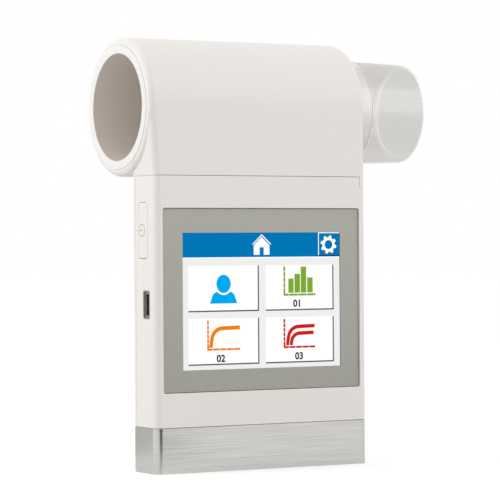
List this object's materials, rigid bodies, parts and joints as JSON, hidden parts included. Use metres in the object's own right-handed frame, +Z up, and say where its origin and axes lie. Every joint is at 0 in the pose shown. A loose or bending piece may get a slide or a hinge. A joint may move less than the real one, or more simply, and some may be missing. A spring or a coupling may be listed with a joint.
{
  "type": "spirometer",
  "caption": "Handheld spirometer: slim upright body with a touch screen and an aluminium base, a round flow head across the top and a translucent mouthpiece collar at its right end.",
  "frame": {"origin": "centre of the body's width and depth on its flat base face", "axes": "+Z up along the body, -Y out of the screen, +X along the flow tube towards the mouthpiece"},
  "size_m": [0.1067, 0.0443, 0.1376],
  "materials": {
    "housing_plastic": "satin moulded, fine texture",
    "band_aluminium": "brushed along its length and clear anodised",
    "panel_glass": "glass with a grey printed border",
    "foam": "closed-cell foam and adhesive",
    "display_steel": "thin pressed sheet",
    "display_glass": "lit display cell",
    "light_guide": "clear light guide with white sheets",
    "flex_film": "amber polyimide film",
    "board": "green solder mask on glass laminate",
    "component_black": "moulded component bodies",
    "sensor_body": "moulded sensor body",
    "connector_plastic": "natural nylon",
    "silicone": "translucent silicone",
    "lead_red": "insulated wire",
    "cell_foil": "foil pouch cell",
    "port_plastic": "dark grey moulded frame",
    "socket_steel": "drawn and plated",
    "screw_steel": "plated steel",
    "insert_brass": "knurled inserts",
    "sleeve_plastic": "moulded",
    "flow_plastic": "white moulded, smooth",
    "element_plastic": "thin-walled moulding",
    "seal_rubber": "nitrile",
    "adapter_clear": "frosted translucent"
  },
  "bodies": {
    "case": {"head_shell": "housing_plastic", "front_cover": "housing_plastic", "rear_cover": "housing_plastic", "base_band": "band_aluminium", "touch_panel": "panel_glass", "panel_tape": "foam", "screen_gasket": "foam", "lcd_pads": "foam", "battery_pad": "foam", "lcd_frame": "display_steel", "lcd_glass": "display_glass", "backlight": "light_guide", "display_flex": "flex_film", "main_board": "board", "board_chips": "component_black", "flex_connector": "component_black", "buzzer": "component_black", "usb_tongue": "component_black", "switch_body": "component_black", "pressure_sensor": "sensor_body", "battery_connector": "connector_plastic", "sensor_hoses": "silicone", "battery_leads": "lead_red", "battery": "cell_foil", "usb_surround": "port_plastic", "usb_shell": "socket_steel", "cover_screws": "screw_steel", "board_screws": "screw_steel", "band_screws": "screw_steel", "thread_inserts": "insert_brass", "flow_sleeve": "sleeve_plastic"},
    "button": {"power_button": "housing_plastic"},
    "plunger": {"switch_plunger": "component_black"},
    "flow_head": {"flow_tube": "flow_plastic", "tube_seals": "seal_rubber", "flow_element": "element_plastic", "element_retainer": "flow_plastic"},
    "adapter": {"mouthpiece_adapter": "adapter_clear"}
  },
  "joints": [
    {"name": "power_button_press", "type": "slide", "parent": "case", "child": "button", "axis": [1, 0, 0], "range_m": [0, 0.0005], "stiffness_N_per_m": 1500},
    {"name": "switch_plunger_press", "type": "slide", "parent": "case", "child": "plunger", "axis": [1, 0, 0], "range_m": [0, 0.0005]},
    {"name": "flow_head_slide", "type": "slide", "parent": "case", "child": "flow_head", "axis": [-1, 0, 0], "range_m": [0, 0.088]},
    {"name": "adapter_slide", "type": "slide", "parent": "flow_head", "child": "adapter", "axis": [1, 0, 0], "range_m": [0, 0.012]}
  ],
  "couplings": [
    {"joint": "switch_plunger_press", "follows": "power_button_press", "ratio": 1}
  ]
}
